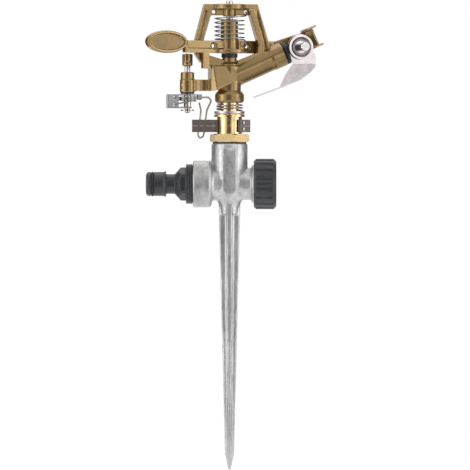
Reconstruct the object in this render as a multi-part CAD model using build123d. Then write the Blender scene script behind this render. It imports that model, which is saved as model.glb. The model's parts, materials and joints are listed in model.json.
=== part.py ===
from build123d import *
import os
from math import cos, sin, radians, hypot

# Impact garden sprinkler on a zinc ground spike, in millimetres.
# The riser's axis is Z, the ground line is z = 0, the hose comes in from -X.
# Everything above the bearing nipple is modelled with its barrel in the +X, +Z plane
# and is then turned about Z by head_heading, the direction that the head points in at rest.

# Clearances between pieces
fit_gap = 0.05        # pin in its hole, tube in its bore
slide_gap = 0.15      # sheet that turns between two faces
free_gap = 0.3        # pieces that pass each other
seal_gap = 0.1        # washers and gaskets to what presses them

# Head and arm directions at rest, degrees
head_heading = 12.0
arm_heading = 18.0    # arm against the bridge legs, measured from the head
barrel_tilt = 24.0    # barrel above the horizontal

# Ground spike
spike_top_z = 30.0
spike_top_half = 7.4
spike_shoulder_z = -143.5
spike_shoulder_half = 3.0
spike_tip_z = -153.7
spike_tip_half = 0.9
spike_rib_top = 4.2
spike_rib_low = 2.4

# Tee of the casting
pipe_z = 40.8
riser_dia = 24.6
riser_top_z = 68.3
riser_dome_z = 31.0
pad_low_z = 34.7      # flats in front of and behind the riser
pad_top_z = 64.6
pad_depth = 0.75
socket_dia = 31.8
socket_face_x = -25.0
socket_length = 12.6
neck_dia = 22.4
stub_dia = 21.5
stub_neck_x = 14.6
water_dia = 16.0
inlet_thread_dia = 24.2
outlet_thread_dia = 26.2
inlet_thread_depth = 11.8
outlet_end_x = 27.0
riser_bore_bottom_z = 47.4

# Hose connector
nose_dia = 16.4
nose_ridge_dia = 17.4
nose_tip_x = -56.8
nose_end_x = -43.1
lock_groove_dia = 13.4
lock_groove_end_x = -37.3
flats_start_x = -34.0
flats_across = 20.7
flats_round_dia = 22.6
thread_start_x = -29.6
thread_ridge_dia = 27.5
thread_ridges = 3
connector_bore = 11.0
o_ring_x = -52.3
o_ring_wire = 2.1
o_ring_proud = 0.2
gasket_thick = 1.7

# End cap
cap_dia = 34.5
cap_face_x = 16.5
cap_end_x = 31.8
cap_rim_x = 29.9
cap_wall_end = 3.1
cap_flutes = 18
cap_flute_dia = 4.6
cap_flute_depth = 0.9

# Bearing nipple and what runs on it
nipple_gasket_thick = 0.9
hex_across = 24.0
hex_height = 5.6
hex_turn = 45.0
sleeve_dia = 17.2
sleeve_top_z = 86.4
flange_dia = 21.2
flange_thick = 1.9
nipple_bottom_z = 54.0
tube_dia = 12.4
tube_bore = 8.6
tube_foot_dia = 17.2
tube_foot_thick = 2.3
tube_foot_room = 0.8  # tube's foot to the crests of the riser's thread, all round
lower_washers = 3
lower_washer_thick = 0.8
washer_inset = 0.2    # washers' edge inside the edge of the tube's foot
top_washer_thick = 1.6
bearing_wire = 1.1
bearing_coil_dia = 17.4
bearing_turns = 2.4

# Friction collars
collar_height = 4.2
collar_sheet = 0.8
collar_grip_gap = 0.15
upper_collar_z = 80.25
lower_collar_z = 75.95
long_tab_reach = 26.6
short_tab_reach = 14.2
collar_window = 2.6
collar_left_angle = 14.0    # band's ends, from -X and from +X, towards the viewer
collar_right_angle = 58.0
short_tab_turn = 25.0

# Head casting
bearing_space = 7.6   # nipple's flange to the hub
hub_height = 7.4
hub_dia = 20.0
column_dia = 15.6
block_lift = 0.9      # hub's top to the block's lower edge
block_height = 16.8
block_front_height = 9.8
block_front_y = -9.4
block_back_y = 8.6
block_left_x = -14.1
block_right_x = 2.7
block_corner = 3.6
block_lean = 8.0      # front face leans back from its lower edge
boss_dia = 9.8
boss_height = 5.8
link_width = 6.8
link_lift = 0.6
link_height = 7.8
link_waist_dia = 12.4
trip_axis_x = -29.2
trip_boss_dia = 10.4
trip_boss_lift = -0.3
trip_boss_step_height = 8.9
trip_boss_height = 13.8
trip_boss_step_dia = 9.4
bridge_thick = 6.4
bridge_bar = 3.3
bridge_top_left_x = -17.7
bridge_top_right_x = 19.1
bridge_low_left_x = -24.9
bridge_low_right_x = 29.5
bridge_disc_dia = 22.0
bridge_border = 4.2   # raised border round the window
bridge_border_rise = 2.0
bridge_pocket_depth = 0.9
seat_thick = 4.4
seat_plate = 3.0
seat_boss_dia = 8.6
seat_ear_x = 11.1
seat_gap = 2.7        # arm's sleeve to the seat
ear_hole_dia = 2.5
ear_hole_lift = 2.4

# Barrel, nozzle and deflector mount
barrel_lift = 17.1    # hub's lower end to the barrel's axis
barrel_dia = 15.6
collar_dia = 16.4
collar_start = 31.4
barrel_length = 41.0
barrel_bore = 10.0
nozzle_thread_dia = 12.4
nozzle_seat = 33.0
nozzle_lip = 2.9
nozzle_lip_dia = 16.0
nozzle_orifice = 4.6
screw_along = 51.3
lug_inner_y = -7.9
lug_thick = 2.8
lug_eye_dia = 9.4
lug_root = 3.2
lug_width = 9.6
screw_dia = 3.6
screw_neck_dia = 5.2
screw_head_dia = 6.2
screw_reach = 15.5
screw_head_length = 3.4
screw_teeth = 12
dish_dia = 16.6
dish_height = 2.6
sheet = 0.8
blade_splay = 10.0
crease_drop = 11.4    # screw's axis to the crease
flap_length = 19.5
flap_slope = 20.5
flap_depth = 21.0
flap_forward = 5.4    # front edge of the flap before the ear
flap_lap = 5.0        # flap's overlap with the blade

# Fulcrum pin, arm and spring
pin_dia = 4.4
pin_proud = 2.8
pivot_washer_dia = 11.0
pivot_washer_thick = 2.6
arm_height = 8.7
arm_flange_height = 2.9
arm_flange_width = 4.6
arm_web = 3.0
arm_ear_x = 13.0
arm_hub_dia = 23.2
arm_sleeve_dia = 11.8
arm_sleeve_height = 23.0
arm_ear_hole_lift = 4.8
arm_ear_plate = 1.6
bushing_dia = 7.4
bushing_length = 4.0
paddle_radius = 49.4
paddle_length = 30.8
paddle_height = 15.3
paddle_thick = 5.4
paddle_rim = 1.9
paddle_recess = 1.3
trip_lug_inner = 16.7
trip_lug_outer = 21.8
trip_lug_drop = 10.7
trip_lug_back = 1.2
spoon_x = 57.8
spoon_lift = 11.1     # arm's lower face to the spoon's middle
spoon_height = 13.2
spoon_half = 4.6
spoon_fin = 1.3
spoon_vane = 1.8
spring_wire = 0.9
spring_coil_dia = 20.2
spring_pitch = 2.9
spring_turns = 5

# Trip mechanism
trip_pin_dia = 3.8
hammer_dia = 7.2
hammer_height = 8.7
hammer_gap = 0.5      # below the arm
hammer_tongue = 12.5
hammer_tongue_turn = -102.0
trip_washer_thick = 1.0
bracket_height = 9.5
bracket_sheet = 0.9
bracket_left_x = -43.4
bracket_face_right_x = -35.9
eye_start_x = -22.6
eye_length = 3.2
bracket_width = 7.0
bracket_hole_in = 4.4
bracket_hole_lift = 2.4
trip_bushing_dia = 5.0
trip_spring_wire = 1.0
trip_spring_dia = 11.6
trip_spring_turns = 2.5
trip_spring_pitch = 1.3
clip_drop = 1.8       # bracket's lower ear to the clip
clip_thick = 0.9
clip_dia = 9.0
trip_pin_end = 1.5
trip_wire_dia = 1.2
trip_wire_drop = 2.1  # bracket's top to the wire's axle
trip_wire_length = 27.6

# Places worked out from the sizes above
riser_thread_dia = tube_foot_dia + 2 * tube_foot_room
lower_washer_dia = tube_foot_dia - 2 * washer_inset
nipple_base_z = riser_top_z + nipple_gasket_thick
hex_top_z = nipple_base_z + hex_height
flange_top_z = sleeve_top_z + flange_thick
hub_bottom_z = flange_top_z + bearing_space
hub_top_z = hub_bottom_z + hub_height
block_low_z = hub_top_z + block_lift
block_top_z = block_low_z + block_height
boss_top_z = block_top_z + boss_height
link_low_z = hub_top_z + link_lift
link_top_z = link_low_z + link_height
trip_boss_low_z = hub_top_z + trip_boss_lift
trip_boss_step_z = trip_boss_low_z + trip_boss_step_height
trip_boss_top_z = trip_boss_low_z + trip_boss_height
barrel_axis_z = hub_bottom_z + barrel_lift
arm_low_z = boss_top_z + pivot_washer_thick + free_gap
arm_top_z = arm_low_z + arm_height
arm_sleeve_top_z = arm_low_z + arm_sleeve_height
seat_low_z = arm_sleeve_top_z + seat_gap
seat_top_z = seat_low_z + seat_thick
bridge_top_z = seat_top_z + bridge_bar
pin_top_z = bridge_top_z + pin_proud
spoon_z = arm_low_z + spoon_lift
hammer_top_z = arm_low_z - hammer_gap
hammer_low_z = hammer_top_z - hammer_height
bracket_top_z = trip_boss_low_z - trip_washer_thick - free_gap
bracket_low_z = bracket_top_z - bracket_height
clip_z = bracket_low_z - clip_drop
trip_pin_low_z = clip_z - trip_pin_end
trip_wire_axis_z = bracket_top_z - trip_wire_drop
screw_x = screw_along * cos(radians(barrel_tilt))
screw_z = barrel_axis_z + screw_along * sin(radians(barrel_tilt))
lug_face_y = lug_inner_y - lug_thick
cheek_back_y = lug_face_y - slide_gap
cheek_face_y = cheek_back_y - sheet
dish_back_y = cheek_face_y - slide_gap

along_pipe = Pos(0, 0, pipe_z) * Rot(0, 90, 0)
along_barrel = Pos(0, 0, barrel_axis_z) * Rot(0, 90 - barrel_tilt, 0)
at_trip_pin = Pos(trip_axis_x, 0, 0)
toward_viewer = Pos(screw_x, 0, screw_z) * Rot(90, 0, 0)


def turned(*outline):
    """Solid of revolution about Z from (radius, height) points."""
    return revolve(Plane.XZ * make_face(Polyline(*outline, close=True)), Axis.Z)


def ring(outer_dia, inner_dia, low, high):
    """Plain ring or tube about Z."""
    ri, ro = inner_dia / 2, outer_dia / 2
    return turned((ri, low), (ro, low), (ro, high), (ri, high))


def rod(dia, low, high):
    """Cylinder about Z between two heights."""
    return Pos(0, 0, low) * Cylinder(dia / 2, high - low, align=(Align.CENTER, Align.CENTER, Align.MIN))


def upright(outline, low, high):
    """Plan outline of (x, y) points raised between two heights."""
    return extrude(Pos(0, 0, low) * make_face(Polyline(*outline, close=True)), high - low)


def plate_y(outline, front, back):
    """Outline of (x, z) points given thickness between two values of y."""
    face = Plane.XZ.offset(-back) * make_face(Polyline(*outline, close=True))
    return extrude(face, back - front)


def coil(wire_dia, coil_dia, low, pitch, turns):
    """Round wire wound about Z."""
    path = Helix(pitch=pitch, height=pitch * turns, radius=coil_dia / 2, center=(0, 0, low))
    section = Plane(origin=path @ 0, z_dir=path % 0) * Circle(wire_dia / 2)
    return sweep(section, path=path, is_frenet=True)


def bent_wire(wire_dia, points, radius):
    """Round wire along straight runs joined by bends."""
    path = FilletPolyline(*points, radius=radius) if radius else Polyline(*points)
    section = Plane(origin=path @ 0, z_dir=path % 0) * Circle(wire_dia / 2)
    return sweep(section, path=path)


def spike_section(half, rib):
    """Cross section of the spike: four ribs with rounded inner corners."""
    r = rib / 2
    corners = [(half, -r), (half, r), (r, r), (r, half), (-r, half), (-r, r),
               (-half, r), (-half, -r), (-r, -r), (-r, -half), (r, -half), (r, -r)]
    face = make_face(Polyline(*corners, close=True))
    inner = [v for v in face.vertices() if hypot(v.X, v.Y) < rib]
    return fillet(inner, min(rib, half) * 0.3)


def make_spike_tee():
    """Zinc casting: spike, riser, inlet socket and outlet stub with their water ways."""
    top = Pos(0, 0, spike_top_z) * spike_section(spike_top_half, spike_rib_top)
    shoulder = Pos(0, 0, spike_shoulder_z) * spike_section(spike_shoulder_half, spike_rib_low)
    spike = loft([shoulder, top], ruled=True)
    point = turned((0, spike_tip_z), (spike_tip_half, spike_tip_z),
                   (spike_shoulder_half * 0.94, spike_shoulder_z), (0, spike_shoulder_z + 4))
    r, neck = riser_dia / 2, spike_top_half * 0.8
    riser = turned((0, riser_dome_z - 11), (neck, riser_dome_z - 11), (neck + 0.6, riser_dome_z - 6),
                   (neck + 2.4, riser_dome_z - 1.5), (r - 1.4, riser_dome_z + 1.5), (r, riser_dome_z + 5),
                   (r, riser_top_z - 0.6), (r - 0.6, riser_top_z), (0, riser_top_z))
    sr, nr, tr = socket_dia / 2, neck_dia / 2, stub_dia / 2
    socket_back_x = socket_face_x + socket_length
    inlet = turned((0, socket_face_x), (sr - 0.8, socket_face_x), (sr, socket_face_x + 0.8),
                   (sr, socket_back_x - 1.2), (sr - 1.2, socket_back_x),
                   (nr, socket_back_x + 0.8), (nr, 0), (0, 0))
    tt = outlet_thread_dia / 2
    outlet = turned((0, 0), (tr, 0), (tr, stub_neck_x), (tt - 0.6, stub_neck_x + 0.6),
                    (tt, stub_neck_x + 1.2), (tt, outlet_end_x - 0.8), (tt - 0.8, outlet_end_x),
                    (0, outlet_end_x))
    pad = Pos(0, 0, (pad_low_z + pad_top_z) / 2) * Box(2 * r, 2 * r, pad_top_z - pad_low_z)
    for side in (-1, 1):
        riser -= Pos(0, side * (2 * r - pad_depth), 0) * pad
    body = spike + point + riser + along_pipe * inlet + along_pipe * outlet
    body -= along_pipe * rod(water_dia, socket_face_x - 1, outlet_end_x + 1)
    body -= along_pipe * rod(inlet_thread_dia, socket_face_x - 1, socket_face_x + inlet_thread_depth)
    body -= rod(riser_thread_dia + 2 * fit_gap, riser_bore_bottom_z, riser_top_z + 1)
    return body


def make_hose_connector():
    """Quick connector: nose with o-ring groove, lock groove, flats and male thread."""
    n, bore = nose_dia / 2, connector_bore / 2
    groove = n + o_ring_proud - o_ring_wire
    half = o_ring_wire / 2 + 0.1
    ridge, lock, flats = nose_ridge_dia / 2, lock_groove_dia / 2, flats_round_dia / 2
    thread = inlet_thread_dia / 2 - fit_gap
    outline = [(bore, nose_tip_x), (n - 1.7, nose_tip_x), (n - 0.5, nose_tip_x + 0.6),
               (n, nose_tip_x + 1.7), (n, o_ring_x - half), (groove, o_ring_x - half),
               (groove, o_ring_x + half), (n, o_ring_x + half), (n, nose_end_x - 1.6),
               (ridge, nose_end_x - 1.2), (ridge, nose_end_x - 0.3), (ridge - 0.3, nose_end_x),
               (lock, nose_end_x), (lock, lock_groove_end_x), (flats_across / 2, flats_start_x),
               (flats, flats_start_x + 0.9), (flats, thread_start_x)]
    crest = thread_ridge_dia / 2
    pitch = (socket_face_x - seal_gap - thread_start_x) / thread_ridges
    for n_ridge in range(thread_ridges):
        start = thread_start_x + n_ridge * pitch
        outline += [(crest - 1.0, start), (crest, start + pitch * 0.25), (crest, start + pitch * 0.6)]
    outline += [(crest - 1.0, socket_face_x - seal_gap), (thread, socket_face_x - seal_gap),
                (thread, gasket_start_x() - seal_gap), (bore, gasket_start_x() - seal_gap)]
    body = turned(*outline)
    low, high = flats_start_x - 0.2, thread_start_x
    hexagon = RegularPolygon(flats_across / 2, 6, major_radius=False)
    keep = extrude(Pos(0, 0, low) * hexagon, high - low)
    shell = rod(flats_round_dia + 2, low, high)
    return along_pipe * (body - (shell - keep))


def gasket_start_x():
    """Where the connector's gasket begins in the bottom of the inlet socket."""
    return socket_face_x + inlet_thread_depth - gasket_thick


def make_o_ring():
    mean = nose_dia / 2 + o_ring_proud - o_ring_wire / 2
    return along_pipe * Pos(0, 0, o_ring_x) * Torus(mean, o_ring_wire / 2)


def make_connector_gasket():
    start = gasket_start_x()
    return along_pipe * ring(inlet_thread_dia - 0.4, connector_bore + 1, start, start + gasket_thick)


def cap_gasket_x():
    """Start and end of the cap's gasket, between stub end and cap."""
    return outlet_end_x + seal_gap, cap_end_x - cap_wall_end - seal_gap


def make_end_cap():
    """Ribbed cap with a plain rim at its closed end and a threaded bore."""
    r = cap_dia / 2
    bore = outlet_thread_dia / 2 + fit_gap
    inside = cap_end_x - cap_wall_end
    body = turned((bore, cap_face_x + 0.5), (bore + 0.5, cap_face_x), (r - 1.6, cap_face_x),
                  (r, cap_face_x + 1.6), (r, cap_end_x - 1.8), (r - 1.8, cap_end_x),
                  (0, cap_end_x), (0, inside), (bore, inside))
    flute = rod(cap_flute_dia, cap_face_x - 1, cap_rim_x)
    reach = r + cap_flute_dia / 2 - cap_flute_depth
    flutes = [Rot(0, 0, 360 / cap_flutes * n) * Pos(reach, 0, 0) * flute for n in range(cap_flutes)]
    return along_pipe * (body - flutes)


def make_cap_gasket():
    start, end = cap_gasket_x()
    return along_pipe * ring(outlet_thread_dia - 0.6, water_dia + 2, start, end)


def make_bearing_nipple():
    """Brass nipple: thread in the riser, hexagon, collar sleeve and flange."""
    bore = tube_dia / 2 + fit_gap
    thread, sleeve, flange = riser_thread_dia / 2, sleeve_dia / 2, flange_dia / 2
    hexagon = extrude(Pos(0, 0, nipple_base_z) * Rot(0, 0, hex_turn)
                      * RegularPolygon(hex_across / 2, 6, major_radius=False), hex_height)
    corner = hex_across / 2 / cos(radians(30))
    chamfer_cone = turned((0, nipple_base_z), (corner - 1.5, nipple_base_z), (corner, nipple_base_z + 0.9),
                          (corner, hex_top_z - 0.9), (corner - 1.5, hex_top_z), (0, hex_top_z))
    shaft = turned((0, nipple_bottom_z), (thread - 0.8, nipple_bottom_z), (thread, nipple_bottom_z + 0.8),
                   (thread, nipple_base_z + 0.5), (sleeve, nipple_base_z + 0.5), (sleeve, sleeve_top_z),
                   (flange, sleeve_top_z), (flange, flange_top_z - 0.5), (flange - 0.5, flange_top_z),
                   (0, flange_top_z))
    return (hexagon & chamfer_cone) + shaft - rod(2 * bore, nipple_bottom_z - 1, flange_top_z + 1)


def make_nipple_gasket():
    return ring(riser_dia - 1.6, riser_thread_dia + 2 * fit_gap, riser_top_z, nipple_base_z)


def make_bearing_tube():
    """Brass tube that carries the head, with a foot under the nipple."""
    foot_top = nipple_bottom_z - free_gap - lower_washers * lower_washer_thick - 2 * seal_gap
    foot_low = foot_top - tube_foot_thick
    bore, r, foot = tube_bore / 2, tube_dia / 2, tube_foot_dia / 2
    return turned((bore, foot_low), (foot, foot_low), (foot, foot_top), (r, foot_top),
                  (r, hub_bottom_z + 13.6), (bore, hub_bottom_z + 13.6))


def make_bearing_washers():
    """Washers stacked on the tube's foot."""
    start = nipple_bottom_z - free_gap - lower_washers * lower_washer_thick - seal_gap
    return [ring(lower_washer_dia, tube_dia + 2 * fit_gap, start + n * lower_washer_thick,
                 start + (n + 1) * lower_washer_thick - 0.04) for n in range(lower_washers)]


def make_top_washer():
    start = flange_top_z + free_gap
    return ring(flange_dia - 0.4, tube_dia + 2 * fit_gap, start, start + top_washer_thick)


def make_bearing_spring():
    """Short compression spring between the top washer and the hub."""
    low = flange_top_z + free_gap + top_washer_thick + bearing_wire / 2 + seal_gap
    high = hub_bottom_z - bearing_wire / 2 - seal_gap
    return coil(bearing_wire, bearing_coil_dia, low, (high - low) / bearing_turns, bearing_turns)


def make_collar(low):
    """Spring band round the back of the sleeve, long tab at the left, short tab at the right."""
    inner = sleeve_dia / 2 + collar_grip_gap
    outer = inner + collar_sheet
    high = low + collar_height
    left, foot, away = radians(180 + collar_left_angle), radians(-collar_right_angle), 40
    gone = upright([(0, 0), (away * cos(left), away * sin(left)), (-away, -away - 20), (away / 2, -away - 20),
                    (away * cos(foot), away * sin(foot))], low - 1, high + 1)
    band = ring(2 * outer, 2 * inner, low, high) - gone
    hook = Pos((outer + 0.3) * cos(foot), (outer + 0.3) * sin(foot), 0) * ring(2.2, 0.6, low, high)
    x0, y0 = (outer + 1.0) * cos(foot), (outer + 1.0) * sin(foot)
    tab = Pos(x0, y0, low) * Rot(0, 0, short_tab_turn) * Box(
        short_tab_reach - x0 + 1.2, collar_sheet, collar_height, align=(Align.MIN, Align.CENTER, Align.MIN))
    window = Pos(x0, y0, low + collar_height / 2) * Rot(0, 0, short_tab_turn) * Pos(2.6, 0, 0) * Box(
        collar_window, 3, collar_height * 0.42)
    reach = ring(2 * short_tab_reach + 0.2, 0.2, low, high)
    short_tab = ((tab - window) & reach) + (hook - ring(2 * outer - 0.8, 0.2, low - 1, high + 1))
    t = collar_sheet
    back = outer * sin(left) + 0.25
    step = back - 0.75
    long_tab = upright([(-inner * 0.98, back), (-10.6, back), (-12.2, step), (-long_tab_reach, step),
                        (-long_tab_reach, step - t), (-12.6, step - t), (-10.9, back - t),
                        (-inner * 0.98, back - t)], low, high)
    long_tab -= rod(2 * inner, low - 1, high + 1)
    return band + short_tab + long_tab


def bridge_outline():
    """Outer edge of the bridge with its lower arms, as (x, z) points."""
    low, top = arm_low_z, arm_top_z
    left, right = bridge_low_left_x, bridge_low_right_x
    return [(bridge_top_left_x, bridge_top_z), (bridge_top_right_x, bridge_top_z), (right - 2.7, top - 1.0),
            (right, low + 0.3), (right - 5.5, block_top_z), (6.0, block_top_z - 5.0),
            (-6.0, block_top_z - 4.0),
            (block_left_x, block_top_z), (left + 4.4, low - 6.3), (left + 0.6, low - 0.7), (left, low + 5.8),
            (left + 0.5, top - 0.2)]


def window_right():
    """Inner edge of the bridge from the seat down the right leg to the boss."""
    low = arm_low_z
    return [(12.3, seat_top_z), (19.2, low + 5.9), (18.6, low + 0.3), (5.0, boss_top_z - 2.2)]


def bridge_window():
    """Inner edge of the bridge, as (x, z) points."""
    low = arm_low_z
    return [(-12.1, seat_top_z)] + window_right() + [(-4.6, boss_top_z - 1.6), (-14.6, low - 1.5),
                                                    (-19.6, low + 1.1), (-18.6, low + 7.9)]


def bridge_pockets():
    """Shallow panels in the faces of both legs, as lists of (x, z) points."""
    low, top = arm_low_z, seat_top_z - 1.4
    right = [(18.2, top), (19.0, top), (26.3, low - 0.6), (24.6, low - 1.0), (23.7, low + 3.0)]
    left = [(-17.4, top), (-16.0, top), (-21.0, low + 7.3), (-21.6, low + 2.5), (-23.2, low + 2.5),
            (-23.0, low + 7.3)]
    return [right, left]


def make_bridge_border():
    """Raised border in front of the right leg and along the barrel, round the window's corner."""
    edge = window_right()
    w = bridge_border
    top, elbow, corner, end = edge
    outer = [(end[0] - 0.6, end[1] - w), (corner[0] + 1.6, corner[1] - w * 0.95),
             (elbow[0] + w, corner[1] - 1.0), (elbow[0] + w, elbow[1] + 0.4), (top[0] + w, top[1])]
    half = bridge_thick / 2
    return plate_y(edge + outer, -half - bridge_border_rise, -half + 0.5)


def make_bridge():
    """Frame over the arm, with the seat for the spring's upper hook."""
    half = bridge_thick / 2
    frame = plate_y(bridge_outline(), -half, half) - plate_y(bridge_window(), -half - 1, half + 1)
    for pocket in bridge_pockets():
        frame -= plate_y(pocket, -half - 1, -half + bridge_pocket_depth)
        frame -= plate_y(pocket, half - bridge_pocket_depth, half + 1)
    hx, hp = seat_ear_x + 2.4, seat_plate / 2
    top = seat_top_z + 0.5
    seat = plate_y([(-hx, seat_low_z), (hx, seat_low_z), (hx, top), (-hx, top)], -hp, hp)
    boss = rod(seat_boss_dia, seat_low_z - 0.6, top)
    r = bridge_disc_dia / 2
    disc = turned((0, seat_top_z), (r, seat_top_z), (r, bridge_top_z - 0.4), (r - 0.4, bridge_top_z),
                  (0, bridge_top_z))
    hole = Rot(90, 0, 0) * Cylinder(ear_hole_dia / 2, bridge_thick + 2)
    holes = [Pos(side * seat_ear_x, 0, seat_low_z + ear_hole_lift) * hole for side in (-1, 1)]
    return frame + disc + make_bridge_border() + (seat - holes) + boss - holes


def make_block():
    """Faceted block in front of the column, cut away slanting below its front face."""
    left, right, front, back, c = block_left_x, block_right_x, block_front_y, block_back_y, block_corner
    plan = [(right, front), (left + c, front), (left, front + c), (left, back - c), (left + c, back),
            (right, back)]
    block = upright(plan, block_low_z, block_top_z)
    face_z = block_top_z - block_front_height
    below = plate_y([(left + c, block_low_z), (right, face_z), (right + 2, face_z),
                     (right + 2, block_low_z - 2), (left + c, block_low_z - 2)], front - 2, back + 2)
    in_front = Pos(0, front, block_low_z) * Rot(-block_lean, 0, 0) * Box(
        40, 10, 2 * block_height, align=(Align.CENTER, Align.MAX, Align.CENTER))
    return block - below - in_front


def make_link():
    """Waisted bar from the block to the trip boss."""
    half, start = link_width / 2, block_left_x + 1.1
    bar = upright([(trip_axis_x, -half), (start, -half), (start, half), (trip_axis_x, half)],
                  link_low_z, link_top_z)
    middle = (trip_axis_x + start) / 2 + 1.5
    reach = half + link_waist_dia / 2 - 1.0
    waist = [Pos(middle, side * reach, 0) * rod(link_waist_dia, link_low_z - 1, link_top_z + 1)
             for side in (-1, 1)]
    return bar - waist


def make_trip_boss():
    r, s = trip_boss_dia / 2, trip_boss_step_dia / 2
    return at_trip_pin * turned((0, trip_boss_low_z), (r, trip_boss_low_z), (r, trip_boss_step_z - 0.5),
                                (r - 0.5, trip_boss_step_z), (s, trip_boss_step_z + 0.4),
                                (s, trip_boss_top_z - 0.6), (s - 0.6, trip_boss_top_z), (0, trip_boss_top_z))


def make_head_body():
    """Bronze-painted casting, with its water way from the hub to the barrel."""
    h, c = hub_dia / 2, column_dia / 2
    column = turned((0, hub_bottom_z), (h - 1.0, hub_bottom_z), (h, hub_bottom_z + 1.4),
                    (h, hub_top_z - 1.8), (h - 1.2, hub_top_z), (c, hub_top_z + 0.8),
                    (c, block_top_z - 0.6), (c - 0.6, block_top_z), (0, block_top_z))
    b = boss_dia / 2
    boss = turned((0, block_top_z - 2), (b + 1.6, block_top_z - 2), (b + 1.6, block_top_z + 1.2),
                  (b + 0.1, block_top_z + 2.6), (b, boss_top_z), (0, boss_top_z))
    p, k = barrel_dia / 2, collar_dia / 2
    barrel = along_barrel * turned((0, 0), (p, 0), (p, collar_start), (k, collar_start + 0.5),
                                   (k, barrel_length - 0.5), (k - 0.5, barrel_length), (0, barrel_length))
    body = column + boss + barrel + make_block() + make_link() + make_trip_boss() + make_bridge()
    body -= rod(tube_dia + 2 * fit_gap, hub_bottom_z - 1, hub_bottom_z + 13.8)
    body -= rod(barrel_bore - 0.4, hub_bottom_z + 13, barrel_axis_z + 1)
    body -= along_barrel * rod(barrel_bore, -1, nozzle_seat + 1)
    body -= along_barrel * rod(nozzle_thread_dia + 2 * fit_gap, nozzle_seat, barrel_length + 1)
    body -= at_trip_pin * rod(trip_pin_dia + 2 * fit_gap, trip_boss_low_z - 1, trip_boss_top_z + 1)
    body -= rod(pin_dia, block_top_z + 1.0, boss_top_z + 1)
    return body - rod(pin_dia, seat_low_z - 2, bridge_top_z + 1)


def make_lug():
    """Arm of the nozzle beside the barrel's mouth that takes the deflector's screw."""
    eye, half = lug_eye_dia / 2, lug_width / 2
    start, lip = barrel_length + seal_gap, barrel_length + nozzle_lip
    at_side = Pos(0, lug_inner_y, barrel_axis_z) * Rot(0, -barrel_tilt, 0) * Rot(90, 0, 0)
    arm = make_face(Polyline((start, -half), (lip, -half), (screw_along, -eye), (screw_along, eye),
                             (lip, half), (start, half), close=True))
    pad = make_face(Polyline((start, -half), (lip, -half), (lip, half), (start, half), close=True))
    root = extrude(Pos(0, 0, -lug_root) * pad, lug_root + 0.2)
    return at_side * (extrude(arm + Pos(screw_along, 0) * Circle(eye), lug_thick) + root)


def make_nozzle():
    """Nozzle screwed into the barrel, tapering to its hole, with the deflector's lug."""
    t, lip, hole = nozzle_thread_dia / 2, nozzle_lip_dia / 2, nozzle_orifice / 2
    start, face = nozzle_seat + seal_gap, barrel_length + nozzle_lip
    body = along_barrel * turned((t - 1.2, start), (t, start), (t, barrel_length + seal_gap),
                                 (lip, barrel_length + seal_gap), (lip, face - 0.6), (lip - 0.6, face),
                                 (hole + 1.2, face), (hole, face - 1.2), (hole, face - 3.2))
    return body + make_lug() - toward_viewer * rod(screw_dia, 0, 14)


def make_fulcrum_pin():
    r = pin_dia / 2
    return turned((0, block_top_z + 1.2), (r, block_top_z + 1.2), (r, pin_top_z - 1.0),
                  (r - 1.0, pin_top_z), (0, pin_top_z))


def make_pivot_washer():
    return ring(pivot_washer_dia, pin_dia + 2 * fit_gap, boss_top_z, boss_top_z + pivot_washer_thick)


def make_paddle():
    """Oval counterweight with a raised rim round a hollowed face on both sides."""
    z = arm_low_z + paddle_height / 2 - 0.5
    stand = Pos(-paddle_radius, 0, z) * Rot(90, 0, 0)
    half = paddle_thick / 2
    disc = extrude(stand * Ellipse(paddle_length / 2, paddle_height / 2), half, both=True)
    disc = chamfer(disc.edges(), 0.7)
    oval = Ellipse(paddle_length / 2 - paddle_rim, paddle_height / 2 - paddle_rim)
    for side in (-1, 1):
        face = Pos(-paddle_radius, side * half, z) * Rot(90, 0, 0) * oval
        disc -= extrude(face, paddle_recess, both=True)
    return disc


def make_left_beam():
    """Beam from hub to paddle: thick lower flange, thinner web above."""
    root, end = -4.0, -(paddle_radius - paddle_length / 2 + 1.6)
    low, top = arm_low_z, arm_top_z
    web = plate_y([(root, low), (end, low), (end, top - 0.3), (root, top - 0.3)], -arm_web / 2, arm_web / 2)
    flange_top = low + arm_flange_height
    flange = plate_y([(root, low), (end, low), (end, flange_top), (root, flange_top)],
                     -arm_flange_width / 2, arm_flange_width / 2)
    shoulder = plate_y([(end, low), (end + 3.4, low), (end + 1.0, top), (end, top)],
                       -arm_flange_width / 2, arm_flange_width / 2)
    return web + flange + shoulder


def make_arm_hub():
    """Hub disc, spring guide sleeve, and ears with holes for the spring's lower hook."""
    low, high = arm_low_z, arm_sleeve_top_z
    h, s = arm_hub_dia / 2, arm_sleeve_dia / 2
    disc = turned((0, low), (h - 0.5, low), (h, low + 0.5), (h, low + 2.4), (0, low + 2.4))
    sleeve = turned((0, low), (s, low), (s, high - 0.5), (s - 0.5, high), (0, high))
    hx, foot, top = arm_ear_x + 1.8, low + 0.5, arm_top_z - 0.3
    ears = plate_y([(-hx, foot), (hx, foot), (hx, top), (-hx, top)], -arm_web / 2, arm_web / 2)
    return disc + sleeve + ears


def make_right_beam():
    """Beam that passes behind the bridge's right leg and the barrel and comes back to the spoon."""
    line = FilletPolyline((0, 0), (20, 6.6), (33, 11.6), (45, 11.2), (spoon_x - 2.4, 2.0), radius=6)
    strip = extrude(Pos(0, 0, arm_low_z) * trace(line, 4.0), 24)
    low, top, end = arm_low_z, arm_top_z, spoon_x - 2
    side = plate_y([(4, low), (21, low), (30, low + 2.6), (46, low + 4.9), (end, low + 7.9),
                    (end, low + 14.5), (end - 4, low + 14.5), (34, top), (22, top), (4, top)], -4, 20)
    return strip & side


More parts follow.
